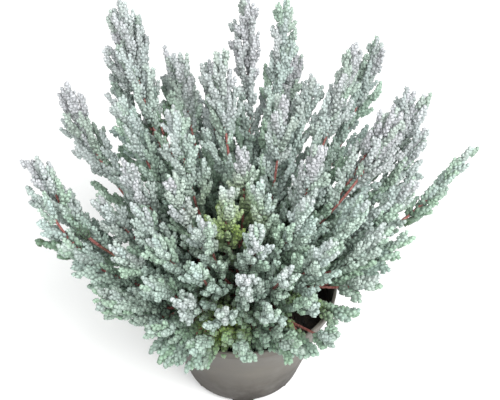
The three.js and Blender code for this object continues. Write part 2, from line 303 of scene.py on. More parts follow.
for i in range(FOOT_COUNT):
    turn = i * 2 * math.pi / FOOT_COUNT - math.pi / 2
    let_go()
    bpy.ops.mesh.primitive_cube_add(
        size=1,
        location=Vector((math.cos(turn), math.sin(turn), 0)) * (BASE_RADIUS - FOOT[0] / 2 - FOOT_INSET) * MM
        + Vector((0, 0, (FLOOR_LIFT + 1) / 2 * MM)),
        rotation=(0, 0, turn),
        scale=(FOOT[0] * MM, FOOT[1] * MM, (FLOOR_LIFT + 1) * MM),
    )
    foot = bpy.context.object
    settle(foot)
    bpy.ops.object.mode_set(mode="EDIT")
    bpy.ops.mesh.select_all(action="SELECT")
    bpy.ops.mesh.bevel(offset=FOOT_ROUNDING * MM, segments=3)
    bpy.ops.object.mode_set(mode="OBJECT")
    joined_by(pot, foot, "UNION")
    let_go()
    hole_turn = turn + math.pi / FOOT_COUNT
    hole_middle = (math.cos(hole_turn) * DRAIN_CIRCLE, math.sin(hole_turn) * DRAIN_CIRCLE, FLOOR_LIFT)
    bpy.ops.mesh.primitive_cylinder_add(
        vertices=24,
        radius=DRAIN_RADIUS * MM,
        depth=6 * WALL * MM,
        location=Vector(hole_middle) * MM,
    )
    drain = bpy.context.object
    settle(drain)
    joined_by(pot, drain, "DIFFERENCE")

let_go()
bpy.ops.mesh.primitive_cylinder_add(
    vertices=48, radius=PAD_RADIUS * MM, depth=PAD_HEIGHT * MM, location=(0, 0, PAD_HEIGHT / 2 * MM)
)
pad = bpy.context.object
settle(pad)
joined_by(pot, pad, "UNION")
print("pot with feet and drains:", len(pot.data.polygons), "faces")

# %% [markdown]
# The plastic is recycled polypropylene coloured taupe-grey. It leaves the mould matte, with a faint orange
# peel, and the nursery bench leaves dust and water marks on it, so its roughness wanders with its colour.
# One side of the pot is painted lighter, as painted light, and the foot of the wall is painted darker, as
# painted shade broken up by stains of dried peat water.

# %% Moulded polypropylene
POT_TAUPE = "#44413d"
POT_TAUPE_DARK = "#2f2c27"
POT_DUST = "#5c5852"
POT_PAINTED_LIGHT = "#6e6a63"  # painted light on one side of the pot
POT_STAIN_AND_SHADE = "#1f170d"  # painted shade at the foot of the wall, with stains of dried peat water
DUST_SIZE = 17  # millimetres across one water mark
SPLASH_SIZE = 13  # and across one splash of peat water
STAIN_AND_SHADE_HEIGHTS = (9, 50)  # millimetres: the lower the wall, the darker, with painted shade and stains
PAINTED_LIGHT_SPAN = (-52, 52)  # millimetres across the pot, from its side without painted light to its side with the most
PEEL_SIZE = 0.8  # the orange peel, drawn a little coarser than it is

pot_plastic, tree, place = new_material("recycled_polypropylene_moulded")
marks = add(
    tree,
    "ShaderNodeTexNoise",
    {"Scale": 1 / (DUST_SIZE * MM), "Detail": 5.0, "Roughness": 0.62},
    Vector=place,
)
clean = add(
    tree,
    "ShaderNodeValToRGB",
    {"stops": [(0.3, POT_TAUPE_DARK), (0.5, POT_TAUPE), (0.75, POT_DUST)]},
    Fac=marks.outputs["Fac"],
)
spot = add(tree, "ShaderNodeSeparateXYZ", Vector=place)
# painted light: the pot grows lighter from one side across to the other
painted_light_share = add(
    tree,
    "ShaderNodeMapRange",
    {"From Min": PAINTED_LIGHT_SPAN[0] * MM, "From Max": PAINTED_LIGHT_SPAN[1] * MM, "To Max": 0.8},
    Value=spot.outputs["X"],
)
painted_light_side = add(
    tree,
    "ShaderNodeMixRGB",
    {"Color2": linear(POT_PAINTED_LIGHT)},
    Fac=painted_light_share.outputs["Result"],
    Color1=clean.outputs["Color"],
)
splashes = add(
    tree,
    "ShaderNodeTexNoise",
    {"Scale": 1 / (SPLASH_SIZE * MM), "Detail": 6.0, "Roughness": 0.6},
    Vector=place,
)
crust = add(
    tree,
    "ShaderNodeMapRange",
    {"From Min": 0.35, "From Max": 0.6, "To Min": 0.55},
    Value=splashes.outputs["Fac"],
)
# painted shade: a dark brown at the foot of the wall, broken up by splashes of dried peat water
stain_and_shade = add(
    tree,
    "ShaderNodeMixRGB",
    {"Color2": linear(POT_STAIN_AND_SHADE)},
    Fac=crust.outputs["Result"],
    Color1=painted_light_side.outputs["Color"],
)
# painted shade: the lower the wall, the more of the dark brown
low = add(
    tree,
    "ShaderNodeMapRange",
    {"From Min": STAIN_AND_SHADE_HEIGHTS[0] * MM, "From Max": STAIN_AND_SHADE_HEIGHTS[1] * MM, "To Min": 1.0, "To Max": 0.0},
    Value=spot.outputs["Z"],
)
colour = add(
    tree,
    "ShaderNodeMixRGB",
    Fac=low.outputs["Result"],
    Color1=painted_light_side.outputs["Color"],
    Color2=stain_and_shade.outputs["Color"],
)
peel = add(tree, "ShaderNodeTexNoise", {"Scale": 1 / (PEEL_SIZE * MM), "Detail": 2.0}, Vector=place)
bump = add(tree, "ShaderNodeBump", {"Strength": 0.18, "Distance": 0.1 * MM}, Height=peel.outputs["Fac"])
gloss = add(
    tree,
    "ShaderNodeMapRange",
    {"From Min": 0.3, "From Max": 0.7, "To Min": 0.45, "To Max": 0.7},
    Value=marks.outputs["Fac"],
)
plastic = add(
    tree,
    "ShaderNodeBsdfPrincipled",
    {"IOR": 1.49, "Specular IOR Level": 0.2},
    Base_Color=colour.outputs["Color"],
    Roughness=gloss.outputs["Result"],
    Normal=bump.outputs["Normal"],
)
finish_material(pot_plastic, plastic)
let_go()
pot.select_set(True)
bpy.context.view_layer.objects.active = pot
bpy.ops.object.shade_smooth_by_angle(angle=math.radians(32))
hand_over(pot, "pot", "pot", pot_plastic)

# %% [markdown]
# ## The peat
# Potting peat is a dark, springy litter of crumbs and fibres. Its surface is a disc of fine rings, raised and
# lowered by a slow swell and by noise at two scales, and loose crumbs lie on it. It stops a third of a
# millimetre short of the pot's wall, as the construction model has it.

# %% The body of peat
SOIL_TOP = 71
SOIL_RELIEF = 1.6
CLEARANCE = 0.3
SOIL_SIDES = 96
SOIL_RINGS = 34
SOIL_EYE = 1.5  # the radius of the face that is left inside the rings
soil_bottom = FLOOR_TOP + CLEARANCE


def soil_radius(z):
    return wall_radius(z) - WALL - CLEARANCE


let_go()
bpy.ops.mesh.primitive_cylinder_add(
    vertices=SOIL_SIDES,
    radius=soil_radius(soil_bottom) * MM,
    depth=(SOIL_TOP - soil_bottom) * MM,
    location=(0, 0, (SOIL_TOP + soil_bottom) / 2 * MM),
    end_fill_type="NGON",
)
peat = bpy.context.object
peat.name = "peat"
settle(peat)
bpy.ops.object.mode_set(mode="EDIT")
bpy.ops.mesh.select_mode(type="FACE")
select_facing(peat, 1)
wider = soil_radius(SOIL_TOP) / soil_radius(soil_bottom)
bpy.ops.transform.resize(value=(wider, wider, 1), center_override=(0, 0, SOIL_TOP * MM))
ring_width = (soil_radius(SOIL_TOP) - SOIL_EYE) / SOIL_RINGS
for _ in range(SOIL_RINGS):
    bpy.ops.mesh.inset(thickness=ring_width * MM, use_even_offset=False)
bpy.ops.object.mode_set(mode="OBJECT")
print("peat:", len(peat.data.vertices), "vertices")

# %% Lumps in its surface
SMOOTH_EDGE = 3  # beside the wall, where the crumbs die out
SWELL_X = 0.31  # radians of the slow swell for each millimetre
SWELL_Y = 0.27
NOISE_LAYERS = [(1.1, 0.35, 3), (0.7, 0.9, 9)]  # height (mm), how closely set, and where it is drawn from
TOP_CELL = 3  # the grid in which the peat's height is looked up
lumps = np.random.default_rng(41)
for vertex in peat.data.vertices:
    x, y, z = vertex.co / MM
    across = math.hypot(x, y)
    if z < SOIL_TOP - 0.5:
        continue
    edge = min(1.0, (soil_radius(SOIL_TOP) - across) / SMOOTH_EDGE)
    swell = SOIL_RELIEF * math.sin(SWELL_X * x + 0.6) * math.cos(SWELL_Y * y - 0.4)
    crumb = sum(rise * noise.noise(Vector((x, y, layer)) * close) for rise, close, layer in NOISE_LAYERS)
    vertex.co.z += (swell + crumb * edge - 0.4) * MM
peat_top = {}
for vertex in peat.data.vertices:
    peat_top[(round(vertex.co.x / MM / TOP_CELL), round(vertex.co.y / MM / TOP_CELL))] = vertex.co.z / MM
print("peat top:", round(min(peat_top.values()), 1), "to", round(max(peat_top.values()), 1), "mm")

# %% Loose crumbs and fibres
CRUMBS = 420
FIBRES = 90
CRUMB_LIFT = 0.25  # how high a crumb's middle lies over the peat
CRUMB_SIZES = (0.5, 1.7)
FIBRE_LENGTHS = (2, 5)
FIBRE_RADIUS = 0.22
LITTER_AREA = (0.06, 0.93)  # where the litter lies, from the middle outwards, as shares of the area


def soil_height(x, y):
    return peat_top.get((round(x / TOP_CELL), round(y / TOP_CELL)), SOIL_TOP)


def crumb_mesh():
    """One crumb of peat, made once: an icosphere pulled out of round."""
    let_go()
    bpy.ops.mesh.primitive_ico_sphere_add(subdivisions=1, radius=1)
    crumb = bpy.context.object
    for vertex in crumb.data.vertices:
        vertex.co *= 1 + 0.55 * noise.noise(vertex.co * 1.7)
    points = np.array([v.co for v in crumb.data.vertices])
    faces = np.array([list(p.vertices) for p in crumb.data.polygons])
    bpy.data.objects.remove(crumb)
    return points, faces


def turned_about(points, angles):
    """Points turned about X, then Y, then Z."""
    cx, cy, cz = np.cos(angles)
    sx, sy, sz = np.sin(angles)
    about_x = np.array([[1, 0, 0], [0, cx, -sx], [0, sx, cx]])
    about_y = np.array([[cy, 0, sy], [0, 1, 0], [-sy, 0, cy]])
    about_z = np.array([[cz, -sz, 0], [sz, cz, 0], [0, 0, 1]])
    return points @ (about_z @ about_y @ about_x).T


crumb_points, crumb_faces = crumb_mesh()
litter = []
for i in range(CRUMBS + FIBRES):
    angle = lumps.uniform(0, 2 * math.pi)
    across = math.sqrt(lumps.uniform(*LITTER_AREA)) * (soil_radius(SOIL_TOP) - 2)
    x, y = across * math.cos(angle), across * math.sin(angle)
    if i < CRUMBS:
        size = lumps.uniform(*CRUMB_SIZES) * np.array([1, lumps.uniform(0.6, 1), lumps.uniform(0.5, 0.9)])
    else:
        size = np.array([lumps.uniform(*FIBRE_LENGTHS), FIBRE_RADIUS, FIBRE_RADIUS])
    one = turned_about(crumb_points * size, lumps.uniform(-0.5, 0.5, 3) + [0, 0, angle * 3])
    litter.append((one + [x, y, soil_height(x, y) + CRUMB_LIFT], crumb_faces))
take_in(peat, piece_from("litter", *joined_arrays(litter)))
print("peat with crumbs:", len(peat.data.polygons), "faces")

# %% [markdown]
# Moist peat is nearly black, with brown clods and paler fibres, and it doesn't shine. Noise at the size of a
# clod gives its colour, and finer noise its grain.

# %% Moist peat
PEAT_DARK = "#0c0907"
PEAT_BROWN = "#1f1711"
PEAT_FIBRE = "#4a3827"
CLOD_SIZE = 3
GRAIN_SIZE = 0.7
peat_matter, tree, place = new_material("moist_peat_crumbled")
clods = add(tree, "ShaderNodeTexNoise", {"Scale": 1 / (CLOD_SIZE * MM), "Detail": 8.0}, Vector=place)
colour = add(
    tree,
    "ShaderNodeValToRGB",
    {"stops": [(0.35, PEAT_DARK), (0.58, PEAT_BROWN), (0.78, PEAT_FIBRE)]},
    Fac=clods.outputs["Fac"],
)
grain = add(tree, "ShaderNodeTexNoise", {"Scale": 1 / (GRAIN_SIZE * MM), "Detail": 4.0}, Vector=place)
bump = add(tree, "ShaderNodeBump", {"Strength": 0.8, "Distance": 0.4 * MM}, Height=grain.outputs["Fac"])
earth = add(
    tree,
    "ShaderNodeBsdfPrincipled",
    {"Roughness": 0.92},
    Base_Color=colour.outputs["Color"],
    Normal=bump.outputs["Normal"],
)
finish_material(peat_matter, earth)
hand_over(peat, "soil", "soil", peat_matter)

# %% [markdown]
# ## How the bush grows
# Each stem is an arc that leaves the crown low and ends nearly upright. The stems stand in tiers, and every
# one follows the same rule as its plain solid: its azimuth, its reach, and a small waver drawn from a
# repeatable series. Side shoots stand on it in a spiral, and each grows as long as it can before it meets
# another plume, the pot or the peat.

# %% Tiers of stems
CROWN_TOP = 78
CROWN_SPREAD = 8
STEM_WAVER = 2.2
SIDE_TAPER = 0.4
SIDE_FIRST = 4
SIDE_SPACING = 12
# (lean, bend, bare, [(azimuth, reach, what differs from the tier), ...]): degrees and millimetres
TIERS = [
    (7, 3, 20, [(95, 108), (215, 96), (325, 100)]),
    (22, 12, 22, [
        (14, 124), (61, 134), (101, 159), (145, 136), (190, 110), (235, 105), (280, 105), (327, 112),
    ]),
    (36, 20, 30, [
        (18, 161), (47, 176), (60, 147), (77, 192), (88, 191, {"bare": 38}), (114, 159), (131, 205),
        (148, 150), (168, 118), (192, 106), (218, 103), (245, 100), (270, 98), (295, 100), (320, 108),
        (346, 116),
    ]),
    (49, 25, 26, [
        (5, 134), (30, 172), (51, 190), (72, 162), (102, 156), (117, 150), (132, 164),
        (150, 176, {"lean": 47, "bend": 32}), (178, 114), (202, 104), (222, 96), (242, 91), (262, 88),
        (282, 88), (303, 92), (338, 96, {"lean": 62, "bend": 6}), (350, 107),
    ]),
    (61, 25, 26, [
        (16, 174, {"bend": 31, "bare": 108, "taper": 0.05}), (80, 130), (125, 135),
        (178, 162, {"lean": 49, "bend": 38}), (191, 123), (356, 113),
    ]),
    (66, 23, 24, [
        (212, 106), (231, 92), (251, 86), (271, 84), (291, 86), (306, 95),
        (330, 80, {"lean": 72, "bend": 18}),
    ]),
]

# How far the shoots of some plumes spread low down, compared with the others, by the stem's number
GIRTHS = {13: 0.75, 14: 0.85, 15: 0.75, 16: 1.15, 17: 0.8, 45: 1.6, 50: 0.75, 57: 0.65}


def series(seed):
    """Repeatable draws from 0 to 1."""
    state = seed
    while True:
        state = (state * 1664525 + 1013904223) % 2**32
        yield state / 2**32


class Stem:
    """A stem's middle line, and the draws that shape what grows on it."""

    def __init__(self, number, azimuth, reach, lean, bend, bare, taper=SIDE_TAPER):
        draw = series(1000 + 7919 * number)
        self.sway, self.swing, self.roll, self.swell = (next(draw) * 2 * math.pi for _ in range(4))
        self.silver = next(draw)
        self.number, self.reach, self.bare, self.taper = number, reach, bare, taper
        self.girth = GIRTHS.get(number, 1)
        self.lean, self.bend, azimuth = (math.radians(a) for a in (lean, bend, azimuth))
        self.outward = np.array([math.cos(azimuth), math.sin(azimuth), 0])
        self.across = np.array([-math.sin(azimuth), math.cos(azimuth), 0])
        self.root = CROWN_SPREAD * math.sin(self.lean + self.bend) * self.outward + [0, 0, CROWN_TOP]
        self.length = reach * self.bend / math.sin(self.bend)

    def at(self, distance):
        """The point, or points, at a distance along the stem."""
        distance = np.asarray(distance, float)[..., None]
        u = distance / self.length
        angle = self.lean + self.bend * (1 - u)
        chord = self.reach * np.sin(self.bend * u) / math.sin(self.bend)
        waver = STEM_WAVER * np.minimum(1, distance / 60)
        in_out = waver * np.sin(5 * u + self.sway)
        return (
            self.root
            + self.outward * (chord * np.sin(angle) + in_out * np.cos(angle))
            + self.across * waver * np.sin(4 * u + self.swing)
            + np.array([0, 0, 1]) * (chord * np.cos(angle) - in_out * np.sin(angle))
        )

    def side_place(self, order):
        """How far along the stem side shoot number `order` stands, counted from the lowest."""
        return self.bare + SIDE_FIRST + order * SIDE_SPACING

    def side_count(self):
        return int((self.length - self.bare - SIDE_FIRST) // SIDE_SPACING)

    def spread(self, height):
        """How far the shoots spread at a height on the plume, from 0 to 1, compared with other plumes."""
        return 1 + (self.girth - 1) * (1 - height)


def stems_of(tiers, first):
    """The stems of some tiers, numbered from `first`."""
    grown = []
    for lean, bend, bare, shoots in tiers:
        for azimuth, reach, *own in shoots:
            habit = {"lean": lean, "bend": bend, "bare": bare}
            for differs in own:
                habit.update(differs)
            grown.append(Stem(first + len(grown), azimuth, reach, **habit))
    return grown


stems = stems_of(TIERS, 1)
print("stems:", len(stems), "longest", round(max(stem.length for stem in stems)), "mm")

# %% [markdown]
# Between the plumes and the peat grow stems that are too short or too slight to have solids of their own.
# They follow the same rule as the others, so they are given in the same kind of list.

# %% Low stems that creep over the peat and the rim
CREEPING = [
    (74, 12, 12, [
        (199, 82), (214, 78), (226, 77), (238, 72), (249, 64), (261, 60), (272, 58), (283, 60), (295, 66),
    ]),
    (70, 14, 12, [
        (12, 74), (40, 66), (66, 62), (92, 60), (118, 62), (143, 66), (166, 74), (185, 76), (352, 70),
    ]),
    (57, 22, 12, [
        (207, 60), (225, 56), (243, 54), (257, 52), (270, 56), (286, 52), (303, 54), (320, 50),
    ]),
    (86, 4, 12, [
        (206, 50), (217, 51), (228, 50), (239, 51), (250, 50), (261, 51), (272, 50), (283, 51), (294, 50),
    ]),
    # a bend below zero: these hang over the rim
    (84, -18, 12, [
        (229, 77), (233, 81), (237, 81), (242, 77), (246, 74), (250, 69), (255, 61), (260, 57), (265, 56),
        (270, 56), (275, 56), (280, 57), (285, 57), (290, 59), (295, 66), (299, 71), (304, 72),
    ]),
]
creeping = stems_of(CREEPING, len(stems) + 1)
print("creeping stems:", len(creeping))

# %% Slighter stems that fill the gaps between the others
BETWEEN = [
    (40, 26, 60, [
        (22, 151, {"lean": 36}), (32, 168, {"lean": 47, "bend": 35, "bare": 100}),
        (115, 161, {"lean": 41, "bare": 90}), (126, 193, {"lean": 37, "bare": 110}),
        (132, 201, {"lean": 37, "bare": 110}),
    ]),
    (52, 26, 44, [
        (23, 157), (180, 156, {"lean": 46, "bend": 42, "bare": 105}),
        (188, 150, {"lean": 50, "bend": 40, "bare": 100}), (206, 101, {"lean": 66}),
    ]),
]
between = stems_of(BETWEEN, len(stems) + len(creeping) + 1)
print("stems between:", len(between))

# %% [markdown]
# Side shoots need room. Each is tried at its own turn and at four turns beside it, at full length and then
# shorter, and it keeps the longest that stays clear of the pot, of the peat, and of all that stands already.
# Two gaps in the foliage stay open, and the peat shows through them.

# %% Where side shoots find room
SIDE_TURN = math.radians(275)
SIDE_NUDGES = [0, 0.6, -0.6, 1.2, -1.2]
SIDE_PARTS = [1, 0.85, 0.7, 0.55, 0.4]
POT_TESTS = [0.15, 0.35, 0.55, 0.75, 1]  # where along a shoot its distance from the pot is tried
SIDE_LONGEST = 36
SIDE_SHORTEST = 7
SIDE_RADIUS = 3.2
SIDE_LEAN_LOW = 38
SIDE_LEAN_HIGH = 26
AXIS_RADIUS = 2.6
CROWDED = 30  # millimetres along a stem: from here on it is in the way, even where it stays bare
OPEN_RADIUS = 6  # of the two gaps that stay open
OPEN_LINES = [((56, 1, 73), (51, -40, 114)), ((44, -27, 73), (41, -58, 107))]


def unit(vector):
    return vector / np.linalg.norm(vector)


def turned(vector, axis, angle):
    """A vector turned about an axis by the right-hand rule."""
    return (
        vector * math.cos(angle)
        + np.cross(axis, vector) * math.sin(angle)
        + axis * np.dot(axis, vector) * (1 - math.cos(angle))
    )


def square_to(along):
    """A direction square to `along`."""
    reference = np.array([0, 0, 1.0]) if abs(along[2]) < 0.9 else np.array([1.0, 0, 0])
    return unit(np.cross(reference, along))


def side_shoot(stem, order, nudge):
    """Start, heading and full length of side shoot number `order`, counted from the lowest."""
    distance = stem.side_place(order)
    height = (distance - stem.bare) / (stem.length - stem.bare)
    along = unit(stem.at(distance + 1) - stem.at(distance - 1))
    turn = stem.roll + order * SIDE_TURN + 0.25 * math.sin(5 * order + stem.swell) + nudge
    spoke = turned(square_to(along), along, turn)
    lean = math.radians(SIDE_LEAN_LOW + (SIDE_LEAN_HIGH - SIDE_LEAN_LOW) * height)
    full = min(SIDE_LONGEST, SIDE_SHORTEST + stem.taper * (stem.length - distance))
    length = full * (1 + 0.15 * math.sin(3 * order + stem.swell))
    return stem.at(distance), math.cos(lean) * along + math.sin(lean) * spoke, length, height


def clear_of_pot(point, radius):
    across = math.hypot(point[0], point[1])
    bottom = point[2] - radius - CLEARANCE
    if across < RIM_RADIUS - RIM_LIP - radius - 2:
        return bottom > SOIL_TOP + SOIL_RELIEF
    if across < RIM_RADIUS + radius + CLEARANCE:
        return bottom > POT_HEIGHT
    return True


def gaps_to(start, end, others):
    """The shortest distances from one straight stretch to many."""
    u = others["end"] - others["start"]
    v = end - start
    w = start - others["start"]
    uu, vv, uv = (u * u).sum(1), v @ v, u @ v
    uw, vw = (u * w).sum(1), w @ v
    span = uu * vv - uv * uv
    t = np.where(span > 1e-9, np.clip((uv * uw - uu * vw) / np.maximum(span, 1e-9), 0, 1), 0)
    s = np.clip((uv * t + uw) / uu, 0, 1)
    t = np.clip((uv * s - vw) / vv, 0, 1)
    return np.linalg.norm(w + v * t[:, None] - u * s[:, None], axis=1)


def stretch(owner, start, end, radius):
    return {"owner": owner, "start": np.array(start, float), "end": np.array(end, float), "radius": radius}


open_stretches = [stretch("open", start, end, OPEN_RADIUS) for start, end in OPEN_LINES]
in_the_way = list(open_stretches)


def stand(stem):
    """Puts a stem's leafy length in the way of the shoots that grow after it."""
    stations = stem.at(np.linspace(min(stem.bare, CROWDED), stem.length, 7))
    for start, end in zip(stations, stations[1:]):
        in_the_way.append(stretch(stem.number, start, end, 1.2 * AXIS_RADIUS))


for stem in stems + creeping:
    stand(stem)


def columns(stretches):
    """A list of stretches as one array for each of their properties."""
    return {key: np.array([one[key] for one in stretches]) for key in ("start", "end", "radius")}


def grow_sides(stem, orders, tightness):
    """The side shoots that a stem has room for. Each takes the turn in which it grows longest."""
    table = columns([other for other in in_the_way if other["owner"] != stem.number])
    grown = []
    for order in orders:
        best = None
        for nudge in SIDE_NUDGES:
            start, heading, length, height = side_shoot(stem, order, nudge)
            radius = SIDE_RADIUS * (0.75 + 0.25 * min(1, length / 12)) * tightness
            for part in SIDE_PARTS:
                if best and part <= best["part"]:
                    break
                end = start + heading * part * length
                clear = all(clear_of_pot(start + (end - start) * k, radius) for k in POT_TESTS)
                tried = start + heading * (AXIS_RADIUS + 0.5)
                if clear and (gaps_to(tried, end, table) > radius + table["radius"] + CLEARANCE).all():
                    best = {
                        "part": part,
                        "start": start,
                        "heading": heading,
                        "length": part * length,
                        "radius": radius,
                        "height": height,
                        "order": order,
                    }
                    break
        if best:
            grown.append(best)
    for side in grown:
        end = side["start"] + side["heading"] * side["length"]
        in_the_way.append(stretch(stem.number, side["start"], end, side["radius"]))
    return grown


# %% Grow them: first those of the plain solids, then one between each two
FILL_TIGHTNESS = 0.75  # the later ones squeeze in among the first
for stem in stems:
    stem.sides = grow_sides(stem, range(stem.side_count()), 1)
for stem in between:
    stand(stem)
for stem in stems:
    stem.sides += grow_sides(stem, [k + 0.5 for k in range(stem.side_count())], FILL_TIGHTNESS)
for stem in creeping + between:
    stem.sides = grow_sides(stem, [k / 2 for k in range(2 * stem.side_count())], FILL_TIGHTNESS)
print("side shoots:", sum(len(stem.sides) for stem in stems))

# %% [markdown]
# ## One leaf
# A heather leaf is a scale two to three millimetres long, plump, curved in at the tip, and covered with short
# grey hairs. Here it is drawn larger, because a leaf of its true size would hardly show. It is modelled
# once, from a cube: the foot is merged to a point and the top is drawn out to a short blunt edge. That makes
# ten triangles, because the bush carries tens of thousands of leaves.

# %% The scale leaf
LEAF_LENGTH = 3.2  # before a leaf takes its size from its place in the bush
LEAF_WIDTH = 2.35
LEAF_THICKNESS = 1.9
LEAF_SHOULDER = 0.5  # where it is widest, as a share of its length
LEAF_TIP = 0.5  # the blunt edge, as a share of its width
LEAF_HOOK = 0.35  # how far its tip curves in, as a share of its thickness
let_go()
bpy.ops.mesh.primitive_cube_add(size=1, location=(0, 0, 0.5))
leaf = bpy.context.object
settle(leaf)
bpy.ops.object.mode_set(mode="EDIT")
bpy.ops.mesh.select_all(action="SELECT")
bpy.ops.transform.resize(
    value=(LEAF_WIDTH, LEAF_THICKNESS, LEAF_SHOULDER * LEAF_LENGTH), center_override=(0, 0, 0)
)
bpy.ops.mesh.select_mode(type="FACE")
select_facing(leaf, -1)
bpy.ops.mesh.merge(type="CENTER")
select_facing(leaf, 1)
bpy.ops.mesh.extrude_region_move(
    TRANSFORM_OT_translate={"value": (0, -LEAF_HOOK * LEAF_THICKNESS, (1 - LEAF_SHOULDER) * LEAF_LENGTH)}
)
bpy.ops.transform.resize(value=(LEAF_TIP, 0, 1), center_override=(0, -LEAF_HOOK * LEAF_THICKNESS, 0))
bpy.ops.mesh.select_all(action="SELECT")
bpy.ops.mesh.remove_doubles(threshold=0.01)
bpy.ops.mesh.quads_convert_to_tris()
bpy.ops.object.mode_set(mode="OBJECT")
leaf_points = np.array([v.co for v in leaf.data.vertices])
leaf_faces = np.array([list(p.vertices) for p in leaf.data.polygons])
bpy.data.objects.remove(leaf)
print("one leaf:", len(leaf_faces), "faces", np.ptp(leaf_points, axis=0).round(2), "mm")

# %% [markdown]
# ## A twig
# A twig is a tapering tube. It is worked out ring by ring along its path, which an operator could also do
# with a bevelled curve, but there are thousands of twigs, and this way they all go into one mesh.


# %% A tapering tube
def tube(points, radii, sides):
    """Corners and faces of a tapering tube, pointed at both ends."""
    points, radii = np.asarray(points), np.asarray(radii)
    along = np.gradient(points, axis=0)
    along /= np.linalg.norm(along, axis=1)[:, None]
    angles = np.arange(sides) * 2 * math.pi / sides
    side = square_to(along[0])
    rings = []
    for point, way, radius in zip(points, along, radii):
        side = unit(side - way * np.dot(side, way))
        other = np.cross(way, side)
        rings.append(point + radius * (np.cos(angles)[:, None] * side + np.sin(angles)[:, None] * other))
    foot = points[0] - along[0] * radii[0]
    tip = points[-1] + along[-1] * radii[-1]
    corners = np.concatenate([[foot], *rings, [tip]])
    last, faces = len(corners) - 1, []
    for k in range(sides):
        low, next_low = 1 + k, 1 + (k + 1) % sides
        faces.append((0, next_low, low))
        for _ in rings[1:]:
            faces.append((low, next_low, next_low + sides))
            faces.append((low, next_low + sides, low + sides))
            low, next_low = low + sides, next_low + sides
        faces.append((last, low, next_low))
    return corners, np.array(faces)


# %% [markdown]
# ## Leaves on a twig
# The leaves stand in pairs, each pair square to the last, so that they make four rows up the twig, and
# they hide it altogether. They spread from it low down and close over its tip. The leaf is placed by a frame
# of three directions, and all of a plume's leaves are worked out at once, because an operator for each would
# take hours. Behind them runs a plump core in the leaves' own colour, darkened as painted shade, for the
# leaves' unseen feet.

# %% Clothing a twig
PAIR_SPACING = 1.85
LEAF_SPREAD = (41, 15)  # degrees from the twig, at its foot and at its tip
LEAF_FOOT = 0.55  # how far from the twig's middle a leaf starts
LEAF_FOOT_PAINTED_SHADE = np.array([0.8, 0.88, 0.82])  # painted shade: a leaf is darker and greener at its foot, where its neighbours cover it
LEAF_TIP_SHADE = np.array([1.06, 1.05, 1.06])  # and hoary at its tip
CORE_RADII = (1.0, 1.75, 1.0)
# painted shade: the core is darker than the leaves in front of it
CORE_PAINTED_SHADE = 0.78
LOW_LEAF = 1.32  # the leaves low in the bush are fleshier than those at the top
HIGH_LEAF = 1.1
LEAF_HEIGHTS = (105, 165)  # millimetres: where the one kind ends and the other begins
TURN_WAVER = 0.13  # radians
SPREAD_WAVER = 4  # degrees


def leaf_size(height):
    return np.interp(height, LEAF_HEIGHTS, (LOW_LEAF, HIGH_LEAF))


class Foliage:
    """Collects the leaves and twigs of one plume."""

    def __init__(self):
        self.roots, self.ways, self.outs, self.sizes, self.colours = [], [], [], [], []
        self.cores, self.twigs = [], []

    def clothe(self, path, first, last, size, colour, rng):
        """Sets pairs of leaves along a path, from one distance to another, and a core behind them."""
        size = size * leaf_size(path(last)[2])
        distances = np.arange(first, last, PAIR_SPACING * size)
        if not len(distances):
            return
        points = path(distances)
        along = path(distances + 0.3) - path(distances - 0.3)
        along /= np.linalg.norm(along, axis=1)[:, None]
        side = np.cross(along, square_to(unit(along.mean(0))))
        side /= np.linalg.norm(side, axis=1)[:, None]
        other = np.cross(along, side)
        share = (distances - first) / max(last - first, 1e-6)
        for half in (0, math.pi):
            angle = half + np.arange(len(distances)) * math.pi / 2 + rng.normal(0, TURN_WAVER, len(distances))
            out = side * np.cos(angle)[:, None] + other * np.sin(angle)[:, None]
            spread = LEAF_SPREAD[0] + (LEAF_SPREAD[1] - LEAF_SPREAD[0]) * share**2
            spread = np.radians(spread + rng.normal(0, SPREAD_WAVER, len(distances)))
            way = along * np.cos(spread)[:, None] + out * np.sin(spread)[:, None]
            self.roots.append(points + out * LEAF_FOOT * (1 - 0.6 * share)[:, None])
            self.ways.append(way)
            self.outs.append(out - way * (out * way).sum(1)[:, None])
            self.sizes.append(size * (1 - 0.2 * share) * rng.uniform(0.9, 1.1, len(distances)))
            self.colours.append(colour(points, share))
        stations = path(np.linspace(max(first - 0.5, 0.2), last - 0.3, len(CORE_RADII)))
        corners, faces = tube(stations, size * np.array(CORE_RADII), 4)
        self.cores.append((corners, faces, colour(corners, np.linspace(0, 1, len(corners))) * CORE_PAINTED_SHADE))

    def leaves(self):
        """Corners and faces of all the leaves and cores, with a colour for each corner."""
        roots, ways, outs = (np.concatenate(a) for a in (self.roots, self.ways, self.outs))
        outs /= np.linalg.norm(outs, axis=1)[:, None]
        sides = np.cross(outs, ways)
        sizes = np.concatenate(self.sizes)[:, None, None]
        axes = np.stack([sides, outs, ways], axis=1)
        corners = roots[:, None, :] + sizes * np.einsum("pk,nkj->npj", leaf_points, axes)
        faces = leaf_faces[None] + (np.arange(len(roots)) * len(leaf_points))[:, None, None]
        tip = leaf_points[:, 2] / LEAF_LENGTH
        # painted shade at each leaf's foot, giving way to its hoary tip
        light = LEAF_FOOT_PAINTED_SHADE + (LEAF_TIP_SHADE - LEAF_FOOT_PAINTED_SHADE) * tip[:, None]
        colours = np.concatenate(self.colours)[:, None, :] * light
        meshes = [(corners.reshape(-1, 3), faces.reshape(-1, 3), colours.reshape(-1, 3))] + self.cores
        return joined_arrays(meshes)


# %% [markdown]
# ## Colours of the foliage
# The hairs make the leaves silver-green. The plumes that stood in the sun all summer turn lavender-grey at
# their tops, and the short shoots deep in the bush, which have hardly any hairs yet, are a fresh
# yellow-green. Low and deep in the bush the leaves are greener and painted darker, as painted shade, and at
# the foot of a plume they are old and brownish green, darkened further by painted shade.

